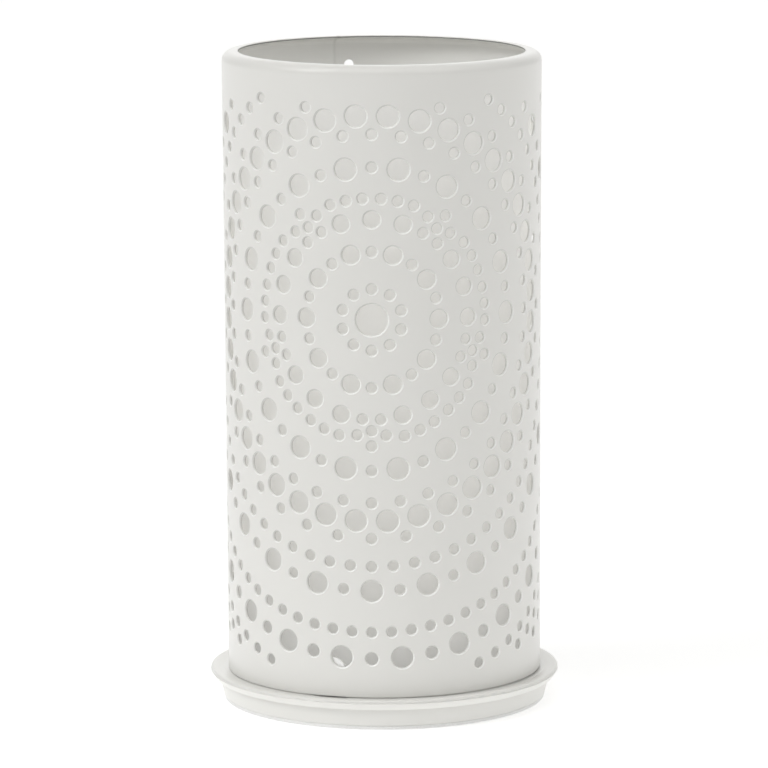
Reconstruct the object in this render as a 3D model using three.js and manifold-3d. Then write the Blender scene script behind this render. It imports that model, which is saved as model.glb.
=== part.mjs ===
// A perforated sheet-metal candle holder. A sleeve with an inward-rolled lip stands loose on a
// saucer-like base, round a translucent diffuser tube and a tealight.
// Millimetres, +Z up. The origin is the centre of the base's underside, and -Y is the front.

import * as THREE from 'three';
import { mergeVertices } from 'three/addons/utils/BufferGeometryUtils.js';
import Module from 'manifold-3d';

const wasm = await Module();
wasm.setup();

// ---------------------------------------------------------------- driving dimensions
// Sleeve: a rolled sheet tube with a quarter-round lip.
const sleeveRadius = 33.65;
const sleeveHeight = 133.5;
const sleeveSheet = 0.5;
const lipRadius = 2.9;
const lipReturn = 0.3;

// Perforations, as diameters. Only the larger holes are cut here.
const centreHole = 7.0;
const innerHole = 4.05;
const middleHole = 3.8;
const outerHole = 4.8;
const rosetteHeight = 79.9;
const rosetteAngle = -3.9;
const rosetteCount = 2;
const topMargin = 7.0;
const bottomMargin = 4.9;
const seamAngle = -162.2;
const holeWeb = 0.9;

// Base: a pressed plate with a hemmed rim, over a shallow pan, over a pad.
const baseSheet = 0.6;
const flangeWidth = 3.85;
const rimRise = 0.3;
const rimDrop = 2.1;
const rimTuck = 1.0;
const rimCorner = 0.5;
const rimLand = 1.0;
const footHeight = 5.05;
const footInset = 1.95;
const footTaper = 0.85;
const footCorner = 0.4;
const panFlange = 0.45;
const padThickness = 0.85;
const padInset = 0.1;
const padCorner = 0.35;

// Locating lugs, which stand up through slots in the plate.
const lugCount = 3;
const firstLugAngle = -19.7;
const lugWidth = 6.0;
const lugSheet = 0.8;
const lugHeight = 8.4;
const lugFootLength = 6.0;

// Diffuser tube.
const diffuserWall = 1.6;
const diffuserBelowCrest = 7.5;

// Tealight, in a shallow well in the plate.
const cupRadius = 19.0;
const cupHeight = 15.0;
const cupSheet = 0.4;
const waxBelowRim = 1.6;
const clipRadius = 6.5;
const clipSheet = 0.5;
const clipNeckHeight = 3.0;
const clipNeckWall = 0.6;
const wickRadius = 0.8;
const wickAboveWax = 8.0;
const wellDepth = 2.5;
const wellSlope = 1.5;

// Clearances.
const sleeveClearance = 0.3;
const lugClearance = 0.3;
const slotClearance = 0.3;
const seatClearance = 0.5;
const waxClearance = 0.3;
const wickClearance = 0.3;

// ---------------------------------------------------------------- derived places
const panTop = padThickness + footHeight;
const plateTop = panTop + baseSheet;
const rimTop = plateTop + rimRise;
const rimRadius = sleeveRadius + flangeWidth;
const footTopRadius = rimRadius - footInset;
const footBottomRadius = footTopRadius - footTaper;
const sleeveInner = sleeveRadius - sleeveSheet;
const lugFace = Math.sqrt((sleeveInner - sleeveClearance) ** 2 - (lugWidth / 2) ** 2);
const diffuserOuter = lugFace - lugSheet - lugClearance;
const diffuserHeight = sleeveHeight - diffuserBelowCrest;
const wellRadius = cupRadius + seatClearance;
const wellFloor = plateTop - wellDepth;

// ---------------------------------------------------------------- finishes
const paint = { color: 0xe4e4de, roughness: 0.42, metalness: 0.0 };
const frosted = { color: 0xdcdce2, roughness: 0.7, metalness: 0.0 };
const softPad = { color: 0xe8e8e4, roughness: 0.9, metalness: 0.0 };
const aluminium = { color: 0xc8cacd, roughness: 0.35, metalness: 1.0 };
const wax = { color: 0xf1ede2, roughness: 0.55, metalness: 0.0 };
const cotton = { color: 0xe9e4d6, roughness: 0.95, metalness: 0.0 };
const tinned = { color: 0xb4b6b8, roughness: 0.45, metalness: 1.0 };

// ---------------------------------------------------------------- making and cutting solids
const ROUND = 48;
const SMALL_ROUND = 24;
const PUNCH_SIDES = 6;
const WICK_SIDES = 12;

/** Turns a list of [radius, height] points about the Z axis. */
function turned(profile, segments = ROUND) {
  const points = profile.map(([radius, height]) => new THREE.Vector2(radius, height));
  return new THREE.LatheGeometry(points, segments).rotateX(Math.PI / 2);
}

/** Points of an arc in the profile plane, angles in degrees, both ends included. */
function arc(centreRadius, centreHeight, radius, from, to, steps) {
  return Array.from({ length: steps + 1 }, (_, i) => {
    const angle = THREE.MathUtils.degToRad(from + ((to - from) * i) / steps);
    return [centreRadius + radius * Math.cos(angle), centreHeight + radius * Math.sin(angle)];
  });
}

/** A closed mesh with shared vertices as a manifold solid. */
function toSolid(geometry) {
  const bare = geometry.clone();
  bare.deleteAttribute('normal');
  bare.deleteAttribute('uv');
  const merged = mergeVertices(bare, 1e-4);
  const corners = merged.index.array;
  const kept = [];
  for (let i = 0; i < corners.length; i += 3) {
    const [a, b, c] = corners.slice(i, i + 3);
    if (a !== b && b !== c && c !== a) kept.push(a, b, c);
  }
  return new wasm.Manifold(new wasm.Mesh({
    numProp: 3,
    vertProperties: new Float32Array(merged.attributes.position.array),
    triVerts: new Uint32Array(kept),
  }));
}

/** A manifold solid as a geometry. */
function toGeometry(solid) {
  const mesh = solid.getMesh();
  const geometry = new THREE.BufferGeometry();
  geometry.setAttribute('position', new THREE.BufferAttribute(mesh.vertProperties, 3));
  geometry.setIndex(new THREE.BufferAttribute(mesh.triVerts, 1));
  geometry.computeVertexNormals();
  return geometry;
}

/** One named mesh with its own material. */
function piece(name, geometry, finish) {
  const mesh = new THREE.Mesh(geometry, new THREE.MeshStandardMaterial(finish));
  mesh.name = name;
  return mesh;
}

// ---------------------------------------------------------------- sleeve
/** The rosette's larger holes: [distance along the girth, height above the centre, diameter]. */
function rosetteHoles() {
  const rings = [
    { radius: 14.15, count: 10, phase: 0.5, size: innerHole },
    { radius: 20.85, count: 20, phase: 0, size: middleHole, skipEvery: 4 },
    { radius: 31.6, count: 18, phase: 0.5, size: outerHole },
    { radius: 42.25, count: 40, phase: 0.5, size: outerHole },
    { radius: 56.95, count: 30, phase: 0, size: outerHole },
    { radius: 71.35, count: 35, phase: 0.5, size: outerHole },
  ];
  const holes = [[0, 0, centreHole]];
  for (const { radius, count, phase, size, skipEvery } of rings) {
    for (let i = 0; i < count; i++) {
      if (skipEvery && i % skipEvery === 0) continue;
      const angle = ((i + phase) / count) * 2 * Math.PI;
      holes.push([radius * Math.sin(angle), -radius * Math.cos(angle), size]);
    }
  }
  return holes;
}

/** Whether a hole lies clear of the sleeve's ends, the next rosette and the seam. */
function isKept(along, height, size, rosette) {
  const reach = size / 2;
  const halfPitch = (Math.PI * sleeveRadius) / rosetteCount;
  const z = rosetteHeight + height;
  const turn = rosetteAngle + (rosette * 360) / rosetteCount - seamAngle;
  const fromSeam = THREE.MathUtils.degToRad(turn) * sleeveRadius + along;
  const girth = 2 * Math.PI * sleeveRadius;
  const seamGap = Math.abs(fromSeam - girth * Math.round(fromSeam / girth));
  return z - reach >= bottomMargin
    && z + reach <= sleeveHeight - topMargin
    && Math.abs(along) + reach + holeWeb / 2 <= halfPitch
    && seamGap >= reach + holeWeb / 2;
}

/** Radial punches for every hole that is kept. */
function punches() {
  const tools = [];
  for (let rosette = 0; rosette < rosetteCount; rosette++) {
    const middle = THREE.MathUtils.degToRad(rosetteAngle + (rosette * 360) / rosetteCount);
    for (const [along, height, size] of rosetteHoles()) {
      if (!isKept(along, height, size, rosette)) continue;
      const length = 2 * (sleeveSheet + size);
      const tool = new THREE.CylinderGeometry(size / 2, size / 2, length, PUNCH_SIDES);
      tool.translate(0, -sleeveRadius, 0);
      tool.rotateZ(middle + along / sleeveRadius);
      tool.translate(0, 0, plateTop + rosetteHeight + height);
      tools.push(toSolid(tool));
    }
  }
  return tools;
}

/** The rolled tube with its quarter-round lip, before punching. */
function sleeveBlank() {
  const crest = plateTop + sleeveHeight;
  const lipCentre = sleeveRadius - lipRadius;
  const edge = lipCentre - lipReturn;
  return turned([
    [sleeveInner, plateTop],
    [sleeveRadius, plateTop],
    ...arc(lipCentre, crest - lipRadius, lipRadius, 0, 90, 5),
    [edge, crest],
    [edge, crest - sleeveSheet],
    ...arc(lipCentre, crest - lipRadius, lipRadius - sleeveSheet, 90, 0, 5),
    [sleeveInner, plateTop],
  ]);
}

function perforatedSleeve() {
  const punched = wasm.Manifold.difference([toSolid(sleeveBlank()), ...punches()]);
  return piece('perforated_sleeve', toGeometry(punched), paint);
}

// ---------------------------------------------------------------- lugs
/** Turns a piece made at the front to the lug's place. */
function lugTurn(index) {
  return THREE.MathUtils.degToRad(firstLugAngle + (index * 360) / lugCount);
}

/** A round-topped blade with a foot bent in under the plate, made at the front. */
function lugAtFront() {
  const bottom = panTop - lugSheet;
  const shoulder = plateTop + lugHeight - lugWidth / 2;
  const outline = new THREE.Shape();
  outline.moveTo(-lugWidth / 2, bottom);
  outline.lineTo(lugWidth / 2, bottom);
  outline.lineTo(lugWidth / 2, shoulder);
  outline.absarc(0, shoulder, lugWidth / 2, 0, Math.PI, false);
  outline.lineTo(-lugWidth / 2, bottom);
  const options = { depth: lugSheet, bevelEnabled: false, curveSegments: 10 };
  const blade = new THREE.ExtrudeGeometry(outline, options).rotateX(Math.PI / 2);
  blade.translate(0, lugSheet - lugFace, 0);
  const foot = new THREE.BoxGeometry(lugWidth, lugFootLength, lugSheet);
  foot.translate(0, lugFootLength / 2 - lugFace, panTop - lugSheet / 2);
  return toSolid(blade).add(toSolid(foot));
}

function locatingLugs() {
  const geometry = toGeometry(lugAtFront());
  return Array.from({ length: lugCount }, (_, i) => {
    const lug = piece(`locating_lug_${i + 1}`, geometry, paint);
    lug.rotation.z = lugTurn(i);
    return lug;
  });
}

/** The slots that the lugs stand in. */
function lugSlots() {
  return Array.from({ length: lugCount }, (_, i) => {
    const slot = new THREE.BoxGeometry(
      lugWidth + 2 * slotClearance,
      lugSheet + 2 * slotClearance,
      4 * baseSheet,
    );
    slot.translate(0, lugSheet / 2 - lugFace, panTop + baseSheet / 2);
    return toSolid(slot.rotateZ(lugTurn(i)));
  });
}

// ---------------------------------------------------------------- base
/** Plate with a well for the tealight and a rim that is hemmed down and inwards. */
function basePlate() {
  const rimStart = rimRadius - rimCorner - baseSheet;
  const sideShift = baseSheet * Math.tan(Math.atan2(wellDepth, wellSlope) / 2);
  const blank = turned([
    [0, wellFloor - baseSheet],
    [wellRadius + sideShift, wellFloor - baseSheet],
    [wellRadius + wellSlope + sideShift, panTop],
    [sleeveRadius + rimLand, panTop],
    [rimStart, rimTop - baseSheet],
    [rimRadius - baseSheet, rimTop - baseSheet],
    [rimRadius - rimTuck - baseSheet, rimTop - rimDrop],
    [rimRadius - rimTuck, rimTop - rimDrop],
    ...arc(rimRadius - rimCorner, rimTop - rimCorner, rimCorner, 0, 90, 3),
    [rimStart, rimTop],
    [sleeveRadius + rimLand, plateTop],
    [wellRadius + wellSlope, plateTop],
    [wellRadius, wellFloor],
    [0, wellFloor],
  ]);
  const slotted = wasm.Manifold.difference([toSolid(blank), ...lugSlots()]);
  return piece('base_plate', toGeometry(slotted), paint);
}

/** Shallow pan whose flaring wall carries the plate. */
function footPan() {
  const steps = 4;
  const wallBottom = padThickness + footCorner;
  const wallTop = panTop - baseSheet;
  const wall = Array.from({ length: steps + 1 }, (_, i) => {
    const share = i / steps;
    const flare = footTaper * Math.sin((share * Math.PI) / 2);
    return [footBottomRadius + flare, wallBottom + (wallTop - wallBottom) * share];
  });
  const inside = wall.map(([radius, height]) => [radius - baseSheet, height]).reverse();
  return piece('foot_pan', turned([
    [0, padThickness],
    [footBottomRadius - footCorner, padThickness],
    ...wall,
    [footTopRadius + panFlange, wallTop],
    [footTopRadius + panFlange, panTop],
    [footTopRadius - baseSheet, panTop],
    ...inside.slice(0, -1),
    [footBottomRadius - baseSheet - footCorner, padThickness + baseSheet],
    [0, padThickness + baseSheet],
  ]), paint);
}

function basePad() {
  const radius = footBottomRadius - padInset;
  return piece('base_pad', turned([
    [0, 0],
    [radius - padCorner, 0],
    [radius, padCorner],
    [radius, padThickness],
    [0, padThickness],
  ]), softPad);
}

// ---------------------------------------------------------------- diffuser
function diffuserTube() {
  const inner = diffuserOuter - diffuserWall;
  return piece('diffuser_tube', turned([
    [inner, plateTop],
    [diffuserOuter, plateTop],
    [diffuserOuter, plateTop + diffuserHeight],
    [inner, plateTop + diffuserHeight],
    [inner, plateTop],
  ]), frosted);
}

// ---------------------------------------------------------------- tealight
/** Cup, wax, wick and the sustainer clip that holds the wick upright. */
function tealight() {
  const cupFloor = wellFloor + cupSheet;
  const waxTop = wellFloor + cupHeight - waxBelowRim;
  const waxRadius = cupRadius - cupSheet - waxClearance;
  const clipTop = cupFloor + clipSheet;
  const neckInner = wickRadius + wickClearance;
  const neckOuter = neckInner + clipNeckWall;
  const bore = neckOuter + waxClearance;
  const cup = turned([
    [0, wellFloor],
    [cupRadius, wellFloor],
    [cupRadius, wellFloor + cupHeight],
    [cupRadius - cupSheet, wellFloor + cupHeight],
    [cupRadius - cupSheet, cupFloor],
    [0, cupFloor],
  ], SMALL_ROUND);
  const candle = turned([
    [clipRadius + waxClearance, cupFloor],
    [waxRadius, cupFloor],
    [waxRadius, waxTop],
    [bore, waxTop],
    [bore, clipTop + waxClearance],
    [clipRadius + waxClearance, clipTop + waxClearance],
    [clipRadius + waxClearance, cupFloor],
  ], SMALL_ROUND);
  const clip = turned([
    [0, cupFloor],
    [clipRadius, cupFloor],
    [clipRadius, clipTop],
    [neckOuter, clipTop],
    [neckOuter, clipTop + clipNeckHeight],
    [neckInner, clipTop + clipNeckHeight],
    [neckInner, clipTop],
    [0, clipTop],
  ], SMALL_ROUND);
  const wick = turned([
    [0, clipTop],
    [wickRadius, clipTop],
    [wickRadius, waxTop + wickAboveWax],
    [0, waxTop + wickAboveWax],
  ], WICK_SIDES);
  const group = new THREE.Group();
  group.add(
    piece('tealight_cup', cup, aluminium),
    piece('tealight_wax', candle, wax),
    piece('tealight_wick_clip', clip, tinned),
    piece('tealight_wick', wick, cotton),
  );
  return group;
}

// ---------------------------------------------------------------- assembly
const holder = new THREE.Group();
holder.add(
  basePad(),
  footPan(),
  basePlate(),
  ...locatingLugs(),
  diffuserTube(),
  perforatedSleeve(),
  tealight(),
);

export default holder;
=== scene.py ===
"""Looks of a perforated sheet-metal candle holder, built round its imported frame.

A rolled sleeve with a quarter-round lip is pierced all round in two rosettes of round holes. It
stands loose on a pressed plate with a hemmed rim, which closes a shallow pan on a foam pad. A frosted
tube and a tealight stand inside it. Metres, +Z up, and -Y is the front.
"""

import logging
import math
from dataclasses import dataclass
from enum import Enum
from typing import Any, Callable, NamedTuple

import bmesh
import bpy
from bpy.types import Material, Mesh, NodeSocket, NodeTree, Object
from mathutils import Euler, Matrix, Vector


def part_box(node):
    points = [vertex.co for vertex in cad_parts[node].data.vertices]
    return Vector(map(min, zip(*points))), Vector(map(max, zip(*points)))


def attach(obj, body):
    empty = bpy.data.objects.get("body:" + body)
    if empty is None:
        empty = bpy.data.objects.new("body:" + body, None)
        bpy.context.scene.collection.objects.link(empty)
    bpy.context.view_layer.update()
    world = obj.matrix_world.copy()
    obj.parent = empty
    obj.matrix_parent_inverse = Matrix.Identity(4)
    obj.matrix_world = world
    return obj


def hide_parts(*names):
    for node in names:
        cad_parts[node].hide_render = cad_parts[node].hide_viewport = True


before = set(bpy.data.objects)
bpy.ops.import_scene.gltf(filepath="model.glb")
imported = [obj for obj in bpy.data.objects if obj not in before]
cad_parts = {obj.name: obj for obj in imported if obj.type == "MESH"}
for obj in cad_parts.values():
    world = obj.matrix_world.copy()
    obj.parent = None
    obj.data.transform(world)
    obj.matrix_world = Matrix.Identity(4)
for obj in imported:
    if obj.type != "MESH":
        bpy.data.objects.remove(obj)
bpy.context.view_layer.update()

MM = 0.001
FILLET_STEPS = 4
ARC_MIDDLE = 0.3
CREASE = 32.0
BLUNT = 60.0
Colour = tuple[float, float, float, float]
Triple = tuple[float, float, float]
Sockets = dict[str | int, Any]
log = logging.getLogger("holder")


# ---------------------------------------------------------------- node graphs
def operator(operation: str, swapped: bool = False) -> Callable[["Wire", Any], "Wire"]:
    """Makes a method that adds a Math node of two inputs.

    Args:
        operation: The Math node's operation.
        swapped: Whether the other value comes first.

    Returns:
        The method.
    """

    def method(self: "Wire", other: Any) -> "Wire":
        """Applies the operation to this wire and another value."""
        return self.graph.math(operation, other, self) if swapped else self.apply(operation, other)

    return method


@dataclass(eq=False)
class Wire:
    """A node's output, on which arithmetic can be written."""

    graph: "Graph"
    socket: NodeSocket

    __add__ = operator("ADD")
    __radd__ = operator("ADD", swapped=True)
    __sub__ = operator("SUBTRACT")
    __rsub__ = operator("SUBTRACT", swapped=True)
    __mul__ = operator("MULTIPLY")
    __rmul__ = operator("MULTIPLY", swapped=True)
    __truediv__ = operator("DIVIDE")
    __rtruediv__ = operator("DIVIDE", swapped=True)

    def __neg__(self) -> "Wire":
        """Negative."""
        return self * -1.0

    def apply(self, operation: str, *others: Any) -> "Wire":
        """The result of a Math node that takes this wire first."""
        return self.graph.math(operation, self, *others)

    def at_least(self, low: float) -> "Wire":
        """This value, or a limit where it is lower."""
        return self.apply("MAXIMUM", low)

    def clamp(self, low: float = 0.0, high: float = 1.0) -> "Wire":
        """This value kept between two limits."""
        return self.at_least(low).apply("MINIMUM", high)

    def above(self, level: Any) -> "Wire":
        """1 where this value is greater than a level, else 0."""
        return self.apply("GREATER_THAN", level)

    def below(self, level: Any) -> "Wire":
        """1 where this value is less than a level, else 0."""
        return self.apply("LESS_THAN", level)

    def output(self, name: str) -> "Wire":
        """Another output of the same node, by name."""
        return Wire(self.graph, find_socket(self.socket.node.outputs, name))


def find_socket(sockets: Any, key: str | int) -> NodeSocket:
    """Finds a node's socket.

    Args:
        sockets: The node's inputs or outputs.
        key: A position, or an identifier or name of an enabled socket.

    Returns:
        The socket.
    """
    if isinstance(key, int):
        return sockets[key]
    shown = [socket for socket in sockets if socket.enabled]
    for socket in shown:
        if socket.identifier == key:
            return socket
    return next(socket for socket in shown if socket.name == key)


@dataclass(eq=False)
class Graph:
    """A node tree built by naming nodes, their settings and what goes into their sockets."""

    tree: NodeTree

    def node(
        self,
        kind: str,
        settings: dict[str, Any] | None = None,
        sockets: Sockets | None = None,
        output: str | int = 0,
    ) -> Wire:
        """Adds a node.

        Args:
            kind: The node's type.
            settings: Its properties, set first.
            sockets: Values or wires for its inputs, by position, identifier or name.
            output: The output to return.

        Returns:
            The chosen output.
        """
        made = self.tree.nodes.new(kind)
        for name, value in (settings or {}).items():
            setattr(made, name, value)
        for key, value in (sockets or {}).items():
            socket = find_socket(made.inputs, key)
            if isinstance(value, Wire):
                self.tree.links.new(value.socket, socket)
            else:
                socket.default_value = value
        return Wire(self, find_socket(made.outputs, output))

    def math(self, operation: str, *values: Any) -> Wire:
        """The result of a Math node on wires or numbers."""
        return self.node("ShaderNodeMath", {"operation": operation}, dict(enumerate(values)))

    def vector_math(self, operation: str, sockets: Sockets, output: str = "Vector") -> Wire:
        """The result of a Vector Math node."""
        return self.node("ShaderNodeVectorMath", {"operation": operation}, sockets, output)

    def close(self, surface: Wire, kind: str = "ShaderNodeOutputMaterial") -> None:
        """Adds the tree's output node, of the given type, and gives it the shader."""
        last = self.tree.nodes.new(kind)
        self.tree.links.new(surface.socket, last.inputs["Surface"])

    def mix(self, share: Any, first: Any, second: Any) -> Wire:
        """The mix of two colours, with a share from 0 to 1 of the second."""
        sockets = {"Factor_Float": share, "A_Color": first, "B_Color": second}
        return self.node("ShaderNodeMix", {"data_type": "RGBA"}, sockets, "Result_Color")

    def split(self, vector: Wire) -> tuple[Wire, Wire, Wire]:
        """The three components of a vector."""
        first = self.node("ShaderNodeSeparateXYZ", {}, {0: vector})
        return first, first.output("Y"), first.output("Z")

    def join(self, x: Any, y: Any, z: Any) -> Wire:
        """A vector from three components."""
        return self.node("ShaderNodeCombineXYZ", {}, {0: x, 1: y, 2: z})


class Recipe(Graph):
    """A Geometry Nodes tree with named inputs, which turns a source mesh into a plain mesh."""

    def __init__(self, name: str) -> None:
        """Starts an empty tree.

        Args:
            name: The tree's name.
        """
        super().__init__(bpy.data.node_groups.new(name, "GeometryNodeTree"))
        self.tree.interface.new_socket("Geometry", in_out="OUTPUT", socket_type="NodeSocketGeometry")
        self.entry = self.tree.nodes.new("NodeGroupInput")
        self.exit = self.tree.nodes.new("NodeGroupOutput")
        self.source = self.input("Source", "NodeSocketGeometry")
        self.material = self.input("Material", "NodeSocketMaterial")

    def input(self, name: str, kind: str = "NodeSocketFloat") -> Wire:
        """Adds a named input of a socket type, and returns it as a wire."""
        self.tree.interface.new_socket(name, in_out="INPUT", socket_type=kind)
        return self[name]

    def __getitem__(self, name: str) -> Wire:
        """A named input that has been added."""
        return Wire(self, self.entry.outputs[name])

    def read(self, name: str, kind: str) -> Wire:
        """A named attribute of a data type."""
        return self.node("GeometryNodeInputNamedAttribute", {"data_type": kind}, {"Name": name})

    def store(self, geometry: Wire, name: str, value: Any, kind: str, domain: str) -> Wire:
        """Stores a named attribute.

        Args:
            geometry: The geometry that will carry it.
            name: The attribute's name.
            value: Its value, which may differ from element to element.
            kind: Its data type.
            domain: What it is stored on.

        Returns:
            The geometry with the attribute.
        """
        settings = {"data_type": kind, "domain": domain}
        sockets = {"Geometry": geometry, "Name": name, "Value": value}
        return self.node("GeometryNodeStoreNamedAttribute", settings, sockets)

    def finish(self, geometry: Wire) -> None:
        """Ends the tree in Realize Instances and Set Material.

        Args:
            geometry: What the tree has made.
        """
        real = self.node("GeometryNodeRealizeInstances", {}, {"Geometry": geometry})
        sockets = {"Geometry": real, "Material": self.material}
        dressed = self.node("GeometryNodeSetMaterial", {}, sockets)
        self.tree.links.new(dressed.socket, self.exit.inputs[0])

    def run(self, name: str, source: Mesh, values: dict[str, Any]) -> Object:
        """Runs the tree on a mesh and keeps the result as a plain mesh.

        Args:
            name: The new object's name.
            source: The mesh that the tree starts from.
            values: The named inputs' values.

        Returns:
            An object at the origin that has no modifier.
        """
        made = link_object(name, source)
        modifier = made.modifiers.new("Recipe", "NODES")
        modifier.node_group = self.tree
        items = self.tree.interface.items_tree
        identifiers = {item.name: item.identifier for item in items if item.in_out == "INPUT"}
        for key, value in values.items():
            modifier[identifiers[key]] = value
        return settle(made)


# ---------------------------------------------------------------- objects and meshes
def link_object(name: str, mesh: Mesh, material: Material | None = None) -> Object:
    """Puts a mesh into the scene.

    Args:
        name: The object's name.
        mesh: Its mesh, already in place.
        material: Its material, where nothing else sets it.

    Returns:
        The new object, at the origin.
    """
    made = bpy.data.objects.new(name, mesh)
    bpy.context.scene.collection.objects.link(made)
    if material:
        mesh.materials.append(material)
    return made


def settle(piece: Object) -> Object:
    """Replaces an object's mesh by what its modifiers make of it, and removes them.

    Args:
        piece: The object.

    Returns:
        The same object.
    """
    graph = bpy.context.evaluated_depsgraph_get()
    mesh = bpy.data.meshes.new_from_object(piece.evaluated_get(graph))
    mesh.name = piece.name
    piece.modifiers.clear()
    piece.data = mesh
    return piece


class Span(NamedTuple):
    """How far a round CAD node reaches."""

    radius: float
    bottom: float
    top: float


def span_of(node: str) -> Span:
    """The radius, lowest and highest point of a round CAD node at rest."""
    low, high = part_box(node)
    return Span(high.x, low.z, high.z)


def reach_of(node: str, degrees: float) -> float:
    """How far a CAD node reaches from the axis, at an angle from the front towards +X."""
    towards = heading(degrees)
    return max(vertex.co.dot(towards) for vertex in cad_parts[node].data.vertices)


def heading(degrees: float) -> Vector:
    """The level unit vector at an angle from the front towards +X."""
    angle = math.radians(degrees)
    return Vector((math.sin(angle), -math.cos(angle), 0.0))


class Corner(NamedTuple):
    """A corner of a turned profile, with the radius of its rounding."""

    radius: float
    height: float
    fillet: float = 0.0


def rounded(corners: list[Corner], closed: bool) -> list[tuple[float, float]]:
    """Rounds the corners of a profile with circular arcs.

    Args:
        corners: The profile's corners in order.
        closed: Whether the last corner joins the first.

    Returns:
        The profile's points.
    """
    points = []
    last = len(corners) - 1
    for index, corner in enumerate(corners):
        here = Vector((corner.radius, corner.height))
        if corner.fillet == 0 or (not closed and index in (0, last)):
            points.append(tuple(here))
            continue
        before = Vector(corners[index - 1][:2]) - here
        after = Vector(corners[(index + 1) % len(corners)][:2]) - here
        half = before.angle(after) / 2
        start = here + before.normalized() * corner.fillet / math.tan(half)
        end = here + after.normalized() * corner.fillet / math.tan(half)
        for step in range(FILLET_STEPS + 1):
            share = step / FILLET_STEPS
            weights = ((1 - share) ** 2, 2 * math.sin(half) * share * (1 - share), share**2)
            point = (start * weights[0] + here * weights[1] + end * weights[2]) / sum(weights)
            points.append(tuple(point))
    return points


def turned_mesh(name: str, corners: list[Corner], segments: int, sharp: float = CREASE) -> Mesh:
    """Turns a profile about the Z axis.

    Args:
        name: The mesh's name.
        corners: The profile. It closes on itself, or starts and ends on the axis.
        segments: How many steps go round.
        sharp: The angle in degrees past which an edge stays sharp.

    Returns:
        A closed mesh with its faces pointing out.
    """
    on_axis = corners[0].radius == 0
    profile = rounded(corners, closed=not on_axis)
    shape = bmesh.new()
    rings = []
    for radius, height in profile:
        if radius == 0:
            rings.append([shape.verts.new((0, 0, height))] * segments)
            continue
        turns = [360 * step / segments for step in range(segments)]
        rings.append([shape.verts.new(heading(turn) * radius + Vector((0, 0, height))) for turn in turns])
    pairs = list(zip(rings, rings[1:]))
    if not on_axis:
        pairs.append((rings[-1], rings[0]))
    for lower, upper in pairs:
        bridge(shape, lower, upper)
    return closed_mesh(name, shape, sharp)


def closed_mesh(name: str, shape: bmesh.types.BMesh, sharp: float = CREASE) -> Mesh:
    """Turns a closed bmesh into a smooth mesh with sharp edges.

    Args:
        name: The mesh's name.
        shape: The faces. They are freed.
        sharp: The angle in degrees past which an edge stays sharp.

    Returns:
        The mesh, with its faces pointing out.
    """
    bmesh.ops.recalc_face_normals(shape, faces=shape.faces[:])
    mesh = bpy.data.meshes.new(name)
    shape.to_mesh(mesh)
    shape.free()
    mesh.shade_smooth()
    mesh.set_sharp_from_angle(angle=math.radians(sharp))
    return mesh


def bridge(shape: bmesh.types.BMesh, lower: list[Any], upper: list[Any]) -> None:
    """Joins two closed loops by faces, which are triangles where a loop is a single point.

    Args:
        shape: The bmesh that gets the faces.
        lower: One loop's vertices.
        upper: The other's, as many as the first.
    """
    for step in range(len(lower)):
        following = (step + 1) % len(lower)
        ring = (lower[step], lower[following], upper[following], upper[step])
        shape.faces.new(list(dict.fromkeys(ring)))


def loft(shape: bmesh.types.BMesh, sections: list[list[Vector]]) -> None:
    """Adds a solid that joins closed sections of equal length.

    Args:
        shape: The bmesh that gets the solid.
        sections: The sections in order, each a loop of points.
    """
    loops = [[shape.verts.new(point) for point in section] for section in sections]
    for lower, upper in zip(loops, loops[1:]):
        bridge(shape, lower, upper)
    shape.faces.new(loops[0][::-1])
    shape.faces.new(loops[-1])


def lofted_mesh(name: str, sections: list[list[Vector]], sharp: float = CREASE) -> Mesh:
    """Makes a mesh through sections.

    Args:
        name: The mesh's name.
        sections: The sections in order, each a loop of points.
        sharp: The angle in degrees past which an edge stays sharp.

    Returns:
        A closed mesh with its faces pointing out.
    """
    shape = bmesh.new()
    loft(shape, sections)
    return closed_mesh(name, shape, sharp)


def mount(piece: Object, body: str, slot: str, *nodes: str) -> None:
    """Makes a piece ride on a body in place of CAD nodes, and logs its size.

    Args:
        piece: The finished piece.
        body: The CAD body that it moves with.
        slot: The record's material slot. It is not used.
        *nodes: The CAD nodes that it stands for.
    """
    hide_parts(*nodes)
    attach(piece, body)
    piece.data.calc_loop_triangles()
    places = [vertex.co for vertex in piece.data.vertices]
    low, high = ([pick(place[axis] for place in places) for axis in range(3)] for pick in (min, max))
    size = " x ".join(f"{(b - a) / MM:.1f}" for a, b in zip(low, high))
    log.info("%s: %d triangles, %s mm", piece.name, len(piece.data.loop_triangles), size)


# ---------------------------------------------------------------- finishes
class Grain(NamedTuple):
    """A noise on a surface: the size of its features, and how deep they are."""

    size: float
    depth: float
    detail: float = 2.0


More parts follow.
